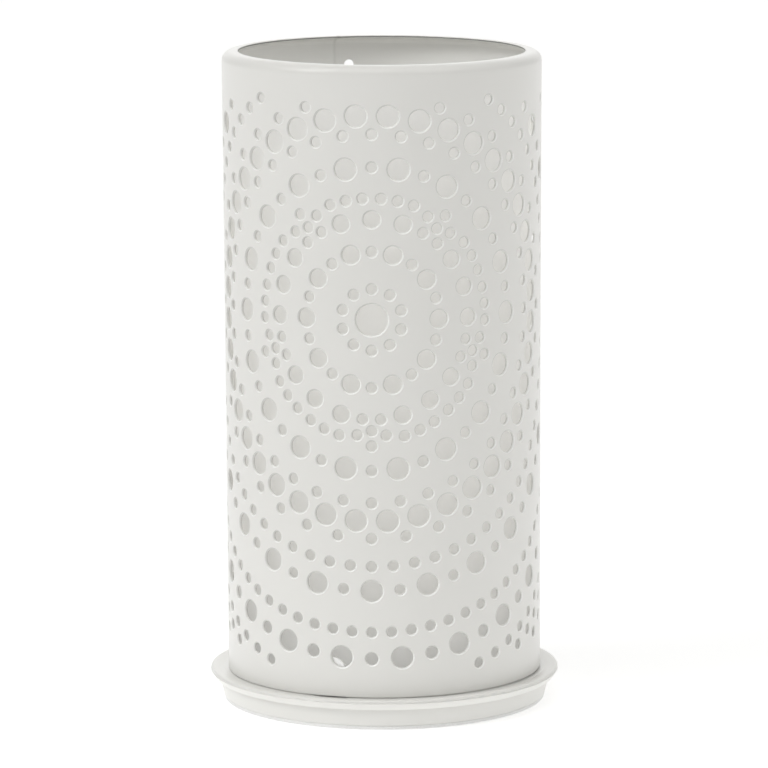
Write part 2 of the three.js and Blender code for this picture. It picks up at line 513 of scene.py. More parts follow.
class Paint(Graph):
    """A new material's graph, with what the finishes share."""

    def __init__(self, name: str) -> None:
        """Makes a material that holds only object coordinates.

        Args:
            name: The material's name.
        """
        self.material = bpy.data.materials.new(name)
        self.material.use_nodes = True
        self.material.node_tree.nodes.clear()
        super().__init__(self.material.node_tree)
        self.place = self.node("ShaderNodeTexCoord", {}, {}, "Object")

    def noise(self, grain: Grain) -> Wire:
        """A noise over the object, with values round 0.5."""
        sockets = {"Vector": self.place, "Scale": 1 / grain.size, "Detail": grain.detail}
        return self.node("ShaderNodeTexNoise", {}, sockets)

    def bump(self, height: Wire, depth: float, under: Wire | None = None) -> Wire:
        """A normal bent by a height.

        Args:
            height: The height, from 0 to 1.
            depth: How deep a full step is, in metres.
            under: A normal that is bent further.

        Returns:
            The normal.
        """
        sockets: Sockets = {"Height": height, "Distance": depth, "Strength": 1.0}
        if under is not None:
            sockets["Normal"] = under
        return self.node("ShaderNodeBump", {}, sockets)

    def carried(self, name: str) -> Wire:
        """A number that the mesh carries."""
        return self.node("ShaderNodeAttribute", {"attribute_name": name}, {}, "Fac")

    def principled(self, sockets: Sockets) -> Material:
        """Ends the material in a Principled shader with the given sockets, and returns it."""
        self.close(self.node("ShaderNodeBsdfPrincipled", {}, sockets))
        return self.material


@dataclass(frozen=True)
class Enamel:
    """Satin stove enamel on sheet steel: warm white, with a faint orange peel."""

    name: str = "white_enamel"
    slot: str = "white_paint"
    colour: Colour = (0.835, 0.83, 0.802, 1.0)
    shaded: Colour = (0.815, 0.81, 0.778, 1.0)
    roughness: float = 0.29
    roughness_spread: float = 0.08
    peel: Grain = Grain(1.1 * MM, 0.006 * MM)
    speck: Grain = Grain(0.22 * MM, 0.0015 * MM)
    drift: Grain = Grain(26 * MM, 0.0)
    seam_degrees: float | None = None
    seam_width: float = 0.55 * MM
    seam_depth: float = 0.05 * MM
    seam_share: float = 0.55
    seam_roughness: float = 0.15
    seam_colour: Colour = (0.42, 0.415, 0.39, 1.0)
    # Read from the mesh: darker cut edges, painted shade at the holes and under the lip, and painted
    # highlight on the hole roundings.
    paints_edge_light_and_shade: bool = False
    edge_and_shade_colour: Colour = (0.2, 0.2, 0.19, 1.0)
    edge_and_shade_share: float = 0.85
    painted_highlight_colour: Colour = (0.99, 0.99, 0.97, 1.0)

    def build(self) -> Material:
        """Builds the material.

        Returns:
            The material.
        """
        paint = Paint(self.name)
        drift = paint.noise(self.drift)
        colour = paint.mix(drift, self.colour, self.shaded)
        normal = paint.bump(paint.noise(self.peel), self.peel.depth)
        normal = paint.bump(paint.noise(self.speck), self.speck.depth, normal)
        roughness = (drift - 0.5) * self.roughness_spread + self.roughness
        if self.seam_degrees is not None:
            seam = self.seam(paint)
            colour = paint.mix(seam * self.seam_share, colour, self.seam_colour)
            normal = paint.bump(1 - seam, self.seam_depth, normal)
            roughness = roughness + seam * self.seam_roughness
        if self.paints_edge_light_and_shade:
            # Darker cut edges, and painted shade on the hole walls, the upper-left hole roundings and under
            # the lip.
            colour = paint.mix(paint.carried("raw_edge") * self.edge_and_shade_share, colour, self.edge_and_shade_colour)
            # Painted highlight on the lower-right hole roundings, and painted light on the inside.
            colour = paint.mix(paint.carried("bead"), colour, self.painted_highlight_colour)
        return paint.principled({"Base Color": colour, "Roughness": roughness, "Normal": normal})

    def seam(self, paint: Paint) -> Wire:
        """A mask for the butt weld that closes the rolled sheet.

        Args:
            paint: The material's graph.

        Returns:
            1 on the weld's line, falling to 0 at its sides.
        """
        towards = heading(self.seam_degrees)
        x, y, _ = paint.split(paint.place)
        aside = x * -towards.y + y * towards.x
        ahead = x * towards.x + y * towards.y
        near = 1 - aside.apply("ABSOLUTE") / self.seam_width
        return near.at_least(0.0) * ahead.above(0.0)


@dataclass(frozen=True)
class Frosting:
    """Frosted opal: it scatters some light back and lets the rest through, and a painted glow stands in for
    light from inside.
    """

    name: str = "frosted_opal"
    slot: str = "frosted_diffuser"
    colour: Colour = (0.9, 0.895, 0.885, 1.0)
    clouded: Colour = (0.88, 0.875, 0.865, 1.0)
    passed: Colour = (0.95, 0.948, 0.94, 1.0)
    passing: float = 0.8
    # Painted glow: emission that stands in for light coming through from inside.
    glow: float = 0.36
    roughness: float = 0.6
    clouds: Grain = Grain(9 * MM, 0.0)
    frost: Grain = Grain(0.35 * MM, 0.004 * MM)

    def build(self) -> Material:
        """Builds the material.

        Returns:
            The material.
        """
        paint = Paint(self.name)
        sockets = {
            "Base Color": paint.mix(paint.noise(self.clouds), self.colour, self.clouded),
            "Roughness": self.roughness,
            # The emission is a painted glow.
            "Emission Color": self.passed,
            "Emission Strength": self.glow,
            "Normal": paint.bump(paint.noise(self.frost), self.frost.depth),
        }
        skin = paint.node("ShaderNodeBsdfPrincipled", {}, sockets)
        inside = paint.node("ShaderNodeBsdfTranslucent", {}, {"Color": self.passed})
        paint.close(paint.node("ShaderNodeMixShader", {}, {0: self.passing, 1: skin, 2: inside}))
        return paint.material


@dataclass(frozen=True)
class Foam:
    """Closed-cell foam: matt, pale, with fine cells."""

    name: str = "pad_foam"
    slot: str = "pad_foam"
    colour: Colour = (0.93, 0.93, 0.92, 1.0)
    pitted: Colour = (0.87, 0.87, 0.86, 1.0)
    roughness: float = 0.85
    cells: Grain = Grain(0.4 * MM, 0.03 * MM)

    def build(self) -> Material:
        """Builds the material.

        Returns:
            The material.
        """
        paint = Paint(self.name)
        sockets = {"Vector": paint.place, "Scale": 1 / self.cells.size}
        cells = paint.node("ShaderNodeTexVoronoi", {}, sockets)
        sockets = {
            "Base Color": paint.mix(cells, self.pitted, self.colour),
            "Roughness": self.roughness,
            "Normal": paint.bump(cells, self.cells.depth),
        }
        return paint.principled(sockets)


@dataclass(frozen=True)
class Metal:
    """Thin bare sheet with drawing marks that run up the wall."""

    name: str
    slot: str
    colour: Colour
    roughness: float
    roughness_spread: float = 0.25
    marks: Grain = Grain(0.5 * MM, 0.006 * MM)
    stretch: float = 0.08

    def build(self) -> Material:
        """Builds the material.

        Returns:
            The material.
        """
        paint = Paint(self.name)
        sockets = {"Vector": paint.place, "Scale": (1, 1, self.stretch)}
        paint.place = paint.node("ShaderNodeMapping", {}, sockets)
        marks = paint.noise(self.marks)
        sockets = {
            "Base Color": self.colour,
            "Metallic": 1.0,
            "Roughness": self.roughness + (marks - 0.5) * self.roughness_spread,
            "Normal": paint.bump(marks, self.marks.depth),
        }
        return paint.principled(sockets)


@dataclass(frozen=True)
class Paraffin:
    """Candle wax: pale, softly lit from within, with a dull skin."""

    name: str = "paraffin"
    slot: str = "candle_wax"
    colour: Colour = (0.86, 0.84, 0.78, 1.0)
    frosted: Colour = (0.90, 0.89, 0.86, 1.0)
    roughness: float = 0.45
    softness: float = 0.6
    depth: float = 2.0 * MM
    mottle: Grain = Grain(3.0 * MM, 0.03 * MM)

    def build(self) -> Material:
        """Builds the material.

        Returns:
            The material.
        """
        paint = Paint(self.name)
        mottle = paint.noise(self.mottle)
        sockets = {
            "Base Color": paint.mix(mottle, self.colour, self.frosted),
            "Roughness": self.roughness,
            "Subsurface Weight": self.softness,
            "Subsurface Scale": self.depth,
            "Normal": paint.bump(mottle, self.mottle.depth),
        }
        return paint.principled(sockets)


@dataclass(frozen=True)
class Cotton:
    """Waxed braided cotton, with fine fibres along the strands."""

    name: str = "wick_cotton"
    slot: str = "wick_cotton"
    colour: Colour = (0.84, 0.80, 0.70, 1.0)
    soaked: Colour = (0.70, 0.66, 0.56, 1.0)
    roughness: float = 0.8
    fibres: Grain = Grain(0.12 * MM, 0.03 * MM)

    def build(self) -> Material:
        """Builds the material.

        Returns:
            The material.
        """
        paint = Paint(self.name)
        fibres = paint.noise(self.fibres)
        sockets = {
            "Base Color": paint.mix(fibres, self.soaked, self.colour),
            "Roughness": self.roughness,
            "Normal": paint.bump(fibres, self.fibres.depth),
        }
        return paint.principled(sockets)


# ---------------------------------------------------------------- sleeve
class HoleSize(Enum):
    """Diameters of the punches."""

    CENTRE = 7.0 * MM
    OUTER = 4.8 * MM
    INNER = 4.05 * MM
    MIDDLE = 3.8 * MM
    MEDIUM = 2.9 * MM
    SMALL = 2.42 * MM


class Hole(NamedTuple):
    """A hole in the flat sheet: its place along the girth and up the sheet, and its diameter."""

    along: float
    up: float
    size: float


@dataclass(frozen=True)
class Ring:
    """Holes on a circle round a rosette's centre, set about evenly spaced directions."""

    radius: float
    count: int
    size: HoleSize = HoleSize.SMALL
    phase: float = 0.0
    odd: HoleSize | None = None
    skip_every: int = 0
    start: float = 0.0
    offsets: tuple[float, ...] = (0.0,)

    def holes(self) -> list[Hole]:
        """The ring's holes, with angles in degrees from straight down.

        Returns:
            Holes with their places from the rosette's centre.
        """
        made = []
        for index in range(self.count):
            middle = (index + self.phase) / self.count * 360
            is_skipped = self.skip_every and index % self.skip_every == 0
            if is_skipped or min(middle, 360 - middle) < self.start:
                continue
            size = self.odd if self.odd and index % 2 else self.size
            for offset in self.offsets:
                angle = math.radians(middle + offset)
                made.append(Hole(self.radius * math.sin(angle), -self.radius * math.cos(angle), size.value))
        return made


ROSETTE = (
    Ring(6.4 * MM, 10),
    Ring(14.15 * MM, 10, HoleSize.INNER, phase=0.5),
    Ring(14.15 * MM, 10),
    Ring(20.85 * MM, 20, HoleSize.MIDDLE, skip_every=4),
    Ring(20.85 * MM, 5, offsets=(5.3, -5.3)),
    Ring(23.2 * MM, 5),
    Ring(24.3 * MM, 5, offsets=(7.2, -7.2)),
    Ring(26.4 * MM, 5),
    Ring(25.2 * MM, 5, phase=0.5, offsets=(4.4, -4.4, 12.3, -12.3, 20.2, -20.2)),
    Ring(31.6 * MM, 18, HoleSize.OUTER, phase=0.5),
    Ring(31.6 * MM, 18),
    Ring(38.4 * MM, 40),
    Ring(42.25 * MM, 40, HoleSize.OUTER, phase=0.5),
    Ring(45.9 * MM, 40),
    Ring(51.8 * MM, 72),
    Ring(56.95 * MM, 30, HoleSize.OUTER),
    Ring(56.95 * MM, 30, phase=0.5),
    Ring(65.7 * MM, 99),
    Ring(71.35 * MM, 70, HoleSize.MEDIUM, odd=HoleSize.OUTER),
    Ring(77.3 * MM, 100, start=17.9),
    Ring(80.2 * MM, 100, phase=0.5, start=26.9),
    Ring(83.3 * MM, 100, start=32.3),
)


@dataclass
class Sleeve:
    """Rolled sheet tube with a quarter-round lip, pierced in two rosettes, welded at the back."""

    sheet: float = 0.5 * MM
    lip_radius: float = 2.15 * MM
    lip_return: float = 1.35 * MM
    edge_round: float = 0.12 * MM
    punch_round: float = 0.34 * MM
    punch_rings: int = 4
    punch_narrowing: float = 0.45
    # Painted shade on the hole walls, the upper-left hole roundings and the lip's underside inside.
    punch_shade: float = 0.3
    upper_left_painted_shade: float = 0.35
    # Painted light: the inside is lighter than the outside.
    inner_painted_light: float = 0.6
    lip_shade: float = 0.35
    # Painted highlight on the lower-right hole roundings, which face the upper-left light.
    painted_highlight_gain: float = 1.8
    painted_light_lean: tuple[float, float] = (-0.6, 0.8)
    flare: float = 0.33 * MM
    flare_from: float = 28.0 * MM
    trim: Triple = (-0.29 * MM, -0.27 * MM, -0.1 * MM)
    trim_from: float = 124.0 * MM
    stand: Triple = (0.2 * MM, 0.08 * MM, 0.12 * MM)
    stand_to: float = 4.0 * MM
    rosette_height: float = 80.23 * MM
    rosette_degrees: float = -3.9
    rosette_turn: float = -0.25
    rosette_stretch: float = 1.006
    rosette_count: int = 2
    top_margin: float = 6.5 * MM
    bottom_margin: float = 4.7 * MM
    web: float = 0.9 * MM
    seam_degrees: float = -162.2
    seam_hole_degrees: float = -167.6
    seam_hole_height: float = 127.0 * MM
    columns: int = 96
    wall_rows: int = 10
    lip_rows: int = 9
    fine_sides: int = 24
    coarse_sides: int = 16
    fine_from: float = 3.4 * MM
    sharp_from: float = 50.0

    def __post_init__(self) -> None:
        """Takes the sleeve's size from the frame."""
        self.span = span_of("perforated_sleeve")
        self.height = self.span.top - self.span.bottom
        self.straight = self.height - self.lip_radius
        self.girth = 2 * math.pi * self.span.radius
        self.flat_height = self.straight + self.lip_radius * math.pi / 2 + self.lip_return

    def along(self, degrees: float) -> float:
        """The place of an angle along the girth of the flat sheet, whose ends meet at the seam."""
        turn = (degrees - self.seam_degrees) % 360 - 180
        return math.radians(turn) * self.span.radius

    def holes(self) -> list[Hole]:
        """Every hole in the flat sheet.

        Returns:
            Holes measured from the sheet's middle and its bottom edge.
        """
        pitch = self.girth / self.rosette_count
        skew = math.radians(self.rosette_turn)
        found = []
        for rosette in range(self.rosette_count):
            middle = self.along(self.rosette_degrees + rosette * 360 / self.rosette_count)
            pattern = [Hole(0.0, 0.0, HoleSize.CENTRE.value)]
            for ring in ROSETTE:
                pattern += ring.holes()
            for hole in pattern:
                reach = hole.size / 2
                up = self.rosette_height + hole.up * self.rosette_stretch + hole.along * skew
                aside = hole.along * self.rosette_stretch - hole.up * skew
                along = (middle + aside + self.girth / 2) % self.girth - self.girth / 2
                inside = (
                    up - reach >= self.bottom_margin,
                    up + reach <= self.height - self.top_margin,
                    abs(hole.along) + reach + self.web / 2 <= pitch / 2,
                    abs(along) + reach + self.web / 2 <= self.girth / 2,
                )
                if all(inside):
                    found.append(Hole(along, up, hole.size))
        lone = self.along(self.seam_hole_degrees)
        found.append(Hole(lone, self.seam_hole_height, HoleSize.SMALL.value))
        return found

    def blank(self) -> Mesh:
        """The flat sheet before punching: x along the girth, y up, z out.

        Returns:
            A closed slab whose top edge is eased.
        """
        lip = self.flat_height - self.edge_round - self.straight
        ups = [self.straight * row / self.wall_rows for row in range(self.wall_rows + 1)]
        ups += [self.straight + lip * row / self.lip_rows for row in range(1, self.lip_rows + 1)]
        insets = [0.0] * len(ups) + [self.edge_round]
        ups.append(self.flat_height)
        sections = []
        for column in range(self.columns + 1):
            x = self.girth * (column / self.columns - 0.5)
            outer = [Vector((x, y, -inset)) for y, inset in zip(ups, insets)]
            inner = [Vector((x, y, inset - self.sheet)) for y, inset in zip(ups, insets)]
            sections.append(outer + inner[::-1])
        return lofted_mesh("sleeve_blank", sections)

    def points(self) -> Object:
        """The holes' centres as bare points that carry their diameters.

        Returns:
            An object that the recipe reads.
        """
        holes = self.holes()
        mesh = bpy.data.meshes.new("sleeve_hole_centres")
        mesh.from_pydata([(hole.along, hole.up, 0.0) for hole in holes], [], [])
        sizes = mesh.attributes.new("diameter", "FLOAT", "POINT")
        sizes.data.foreach_set("value", [hole.size for hole in holes])
        log.info("sleeve: %d holes", len(holes))
        return link_object("sleeve_hole_centres", mesh)

    def sizes(self) -> dict[str, float]:
        """The numbers that the recipe takes.

        Returns:
            The numbers by the names of its inputs.
        """
        return {
            "Sheet": self.sheet,
            "Punch Round": self.punch_round,
            "Radius": self.span.radius,
            "Bottom": self.span.bottom,
            "Straight": self.straight,
            "Lip Radius": self.lip_radius,
            "Half Girth": self.girth / 2,
        }

    def recipe(self) -> Recipe:
        """The tree that punches the flat sheet and rolls it up.

        Returns:
            The tree.
        """
        recipe = Recipe("punch_and_roll")
        recipe.input("Holes", "NodeSocketObject")
        for name in self.sizes():
            recipe.input(name)
        sockets = {"Mesh 1": recipe.source, "Mesh 2": self.punches(recipe)}
        settings = {"operation": "DIFFERENCE", "solver": "MANIFOLD"}
        cut = recipe.node("GeometryNodeMeshBoolean", settings, sockets)
        recipe.finish(Rolling(self, recipe).tube(cut))
        return recipe

    def punches(self, recipe: Recipe) -> Wire:
        """A punch at each hole, flared where it leaves the outside of the sheet.

        Args:
            recipe: The tree.

        Returns:
            The punches as real geometry. Their faces carry the hole's centre.
        """
        centres = recipe.node("GeometryNodeObjectInfo", {}, {"Object": recipe["Holes"]}, "Geometry")
        place = recipe.node("GeometryNodeInputPosition")
        centres = recipe.store(centres, "centre", place, "FLOAT_VECTOR", "POINT")
        diameter = recipe.read("diameter", "FLOAT")
        centre = recipe.read("centre", "FLOAT_VECTOR")
        is_fine = diameter.above(self.fine_from)
        tools = []
        for sides, chosen in ((self.fine_sides, is_fine), (self.coarse_sides, 1 - is_fine)):
            sockets = {"Vertices": sides, "Side Segments": self.punch_rings, "Radius": 1.0, "Depth": 1.0}
            tool = recipe.node("GeometryNodeMeshCylinder", {"fill_type": "NGON"}, sockets)
            sockets = {"Points": centres, "Selection": chosen, "Instance": tool}
            tools.append(recipe.node("GeometryNodeInstanceOnPoints", {}, sockets))
        joined = recipe.node("GeometryNodeJoinGeometry", {}, {"Geometry": tools[0]})
        recipe.tree.links.new(tools[1].socket, joined.socket.node.inputs[0])
        real = recipe.node("GeometryNodeRealizeInstances", {}, {"Geometry": joined})
        from_centre = recipe.vector_math("SUBTRACT", {0: place, 1: centre})
        x, y, z = recipe.split(from_centre)
        ring = ((z + 0.5) * self.punch_rings).apply("ROUND")
        wider, higher, level = self.outline(recipe, ring)
        edge = recipe["Punch Round"]
        across = diameter * 0.5 + (wider - self.punch_narrowing) * edge
        height = higher * edge + level * recipe["Sheet"]
        centre_x, centre_y, _ = recipe.split(centre)
        moved = recipe.join(centre_x + x * across, centre_y + y * across, height)
        shaped = recipe.node("GeometryNodeSetPosition", {}, {"Geometry": real, "Position": moved})
        marked = recipe.store(shaped, "punched", True, "BOOLEAN", "FACE")
        return recipe.store(marked, "hole", centre, "FLOAT_VECTOR", "FACE")

    @staticmethod
    def outline(recipe: Recipe, ring: Wire) -> tuple[Wire, Wire, Wire]:
        """A punch's outline, ring by ring from its inner end.

        Args:
            recipe: The tree.
            ring: The number of the ring, from 0.

        Returns:
            For that ring: how much wider the punch is and how high it stands, both as shares of the
            edge's rounding, and its height as a share of the sheet.
        """
        quarter = math.sqrt(0.5)
        beyond = 0.5
        rows = (
            (0.0, 0.0, -2.0),
            (0.0, -1.0, 0.0),
            (1 - quarter, quarter - 1, 0.0),
            (1 + beyond * quarter, beyond * (1 - quarter), 0.0),
            (1 + beyond * quarter, 0.0, 2.0),
        )
        settings = {"data_type": "VECTOR"}
        switch = recipe.node("GeometryNodeIndexSwitch", settings, {"Index": ring})
        items = switch.socket.node.index_switch_items
        while len(items) < len(rows):
            items.new()
        for index, row in enumerate(rows):
            switch.socket.node.inputs[index + 1].default_value = row
        return recipe.split(switch)

    def build(self) -> None:
        """Builds the sleeve."""
        # This enamel paints shade and highlight at the sheet's edges and holes, and light on the inside.
        finish = Enamel(name="sleeve_enamel", seam_degrees=self.seam_degrees, paints_edge_light_and_shade=True)
        points = self.points()
        values = {"Material": finish.build(), "Holes": points, **self.sizes()}
        piece = self.recipe().run("sleeve", self.blank(), values)
        bpy.data.objects.remove(points)
        mount(piece, "sleeve", finish.slot, "perforated_sleeve")


class Rolling:
    """What a recipe works out for each point of the punched sheet, to roll it into the sleeve."""

    tiny = 0.01 * MM
    merge = 0.001 * MM

    def __init__(self, sleeve: Sleeve, recipe: Recipe) -> None:
        """Works out what the steps share.

        Args:
            sleeve: The sleeve's sizes.
            recipe: The tree, with the sleeve's inputs.
        """
        self.sleeve = sleeve
        self.recipe = recipe
        self.sheet = recipe["Sheet"]
        self.straight = recipe["Straight"]
        self.lip = recipe["Lip Radius"]
        self.x, self.y, self.z = recipe.split(recipe.node("GeometryNodeInputPosition"))
        turn = (self.x / recipe["Half Girth"]) * math.pi + math.radians(sleeve.seam_degrees + 180)
        curl = ((self.y - self.straight) / self.lip).clamp(0.0, math.pi / 2)
        self.sin_turn, self.cos_turn = turn.apply("SINE"), turn.apply("COSINE")
        self.sin_curl, self.cos_curl = curl.apply("SINE"), curl.apply("COSINE")
        self.punched = recipe.read("punched", "BOOLEAN")
        hole_x, hole_y, _ = recipe.split(recipe.read("hole", "FLOAT_VECTOR"))
        self.to_x, self.to_y = hole_x - self.x, hole_y - self.y
        away = self.to_x * self.to_x + self.to_y * self.to_y
        self.away = away.apply("SQRT").at_least(self.merge)
        edge = recipe["Punch Round"]
        self.rise = ((edge + self.z) / edge).clamp()
        self.is_outer = self.z.above(-self.tiny)
        self.is_inner = self.z.below(self.tiny - self.sheet)

    def facing(self) -> Wire:
        """The way that a face looks once it is rolled, from the shapes of the sheet and of its holes.

        Returns:
            A unit vector.
        """
        end = (self.y.above(self.straight) * 2 - 1) * (1 - self.is_outer) * (1 - self.is_inner)
        flat = self.recipe.join(0.0, end, self.is_outer - self.is_inner)
        level = (1 - self.rise * self.rise).apply("SQRT")
        wall = self.recipe.join(self.to_x / self.away * level, self.to_y / self.away * level, self.rise)
        sockets = {"Switch": self.punched, "False": flat, "True": wall}
        facing = self.recipe.node("GeometryNodeSwitch", {"input_type": "VECTOR"}, sockets)
        face_x, face_y, face_z = self.recipe.split(facing)
        outward = face_z * self.cos_curl - face_y * self.sin_curl
        return self.recipe.join(
            face_x * self.cos_turn + outward * self.sin_turn,
            face_x * self.sin_turn - outward * self.cos_turn,
            face_z * self.sin_curl + face_y * self.cos_curl,
        )

    def shades(self) -> tuple[Wire, Wire]:
        """Painted shade and painted highlight on the enamel, at the sheet's edges and inside the sleeve.

        Returns:
            How much darker it is, from darker cut edges and painted shade, and how much lighter, from
            painted highlight and painted light inside, as shares.
        """
        sizes = self.sleeve
        lean = self.to_y * sizes.painted_light_lean[1] + self.to_x * sizes.painted_light_lean[0]
        lean = lean / self.away * self.rise * self.punched
        # Darker at the sheet's top and bottom cut edges.
        darkening = self.y.above(sizes.flat_height - self.tiny) + self.y.below(self.tiny)
        # Painted shade on the upper-left hole roundings, which face away from the light.
        darkening = darkening + (-lean).at_least(0.0) * sizes.upper_left_painted_shade
        # Painted shade on the hole walls, darker deeper into the sheet.
        darkening = darkening - self.punched * (self.z / self.sheet) * sizes.punch_shade
        # Painted shade under the lip inside.
        darkening = darkening + self.is_inner * self.sin_curl * sizes.lip_shade
        # Painted highlight on the lower-right hole roundings.
        bead = lean.at_least(lean * sizes.painted_highlight_gain).apply("MINIMUM", 1.0)
        # The inside is painted lighter: painted light.
        return darkening, bead + self.is_inner * (1 - self.sin_curl) * sizes.inner_painted_light

    def uneven(self, share: Wire, size: Triple) -> Wire:
        """A height that varies round the sleeve: its mean, and its rise to the back and to the right."""
        return (self.cos_turn * size[1] + self.sin_turn * size[2] + size[0]) * share

    def position(self) -> Wire:
        """Where a point of the sheet goes.

        Returns:
            Its place in the sleeve.
        """
        sizes, y = self.sleeve, self.y
        beyond = (y - self.straight - self.lip * (math.pi / 2)).at_least(0.0)
        spread = ((y - sizes.flare_from) / (sizes.height - sizes.flare_from)).at_least(0.0)
        near_top = ((y - sizes.trim_from) / (sizes.height - sizes.trim_from)).clamp()
        near_foot = (1 - y / sizes.stand_to).at_least(0.0)
        out = (self.recipe["Radius"] - self.lip) + (self.lip + self.z) * self.cos_curl
        out = out - beyond + spread * spread * sizes.flare
        high = self.recipe["Bottom"] + y.apply("MINIMUM", self.straight)
        high = high + (self.lip + self.z) * self.sin_curl
        high = high + self.uneven(near_top, sizes.trim) + self.uneven(near_foot, sizes.stand)
        return self.recipe.join(out * self.sin_turn, -(out * self.cos_turn), high)

    def tube(self, cut: Wire) -> Wire:
        """Rolls the sheet up, closes its seam and sets its shading.

        Args:
            cut: The punched flat sheet.

        Returns:
            The sleeve.
        """
        recipe = self.recipe
        tube = recipe.store(cut, "facing", self.facing(), "FLOAT_VECTOR", "CORNER")
        # Stores the darker cut edges with the painted shade, and the painted highlight with the painted
        # light inside.
        for name, value in zip(("raw_edge", "bead"), self.shades()):
            tube = recipe.store(tube, name, value, "FLOAT", "FACE")
        at_seam = self.x.apply("ABSOLUTE").above(recipe["Half Girth"] - self.tiny)
        sockets = {"Geometry": tube, "Selection": at_seam}
        tube = recipe.node("GeometryNodeDeleteGeometry", {"domain": "FACE"}, sockets)
        sockets = {"Geometry": tube, "Position": self.position()}
        tube = recipe.node("GeometryNodeSetPosition", {}, sockets)
        sockets = {"Geometry": tube, "Distance": self.merge}
        tube = recipe.node("GeometryNodeMergeByDistance", {}, sockets)
        tube = recipe.node("GeometryNodeSetShadeSmooth", {}, {"Geometry": tube})
        is_sharp = recipe.node("GeometryNodeInputMeshEdgeAngle").above(math.radians(self.sleeve.sharp_from))
        sockets = {"Geometry": tube, "Selection": is_sharp, "Shade Smooth": False}
        tube = recipe.node("GeometryNodeSetShadeSmooth", {"domain": "EDGE"}, sockets)
        settings = {"mode": "FREE", "domain": "CORNER"}
        sockets = {"Mesh": tube, "Custom Normal": recipe.read("facing", "FLOAT_VECTOR")}
        return recipe.node("GeometryNodeSetMeshNormal", settings, sockets)


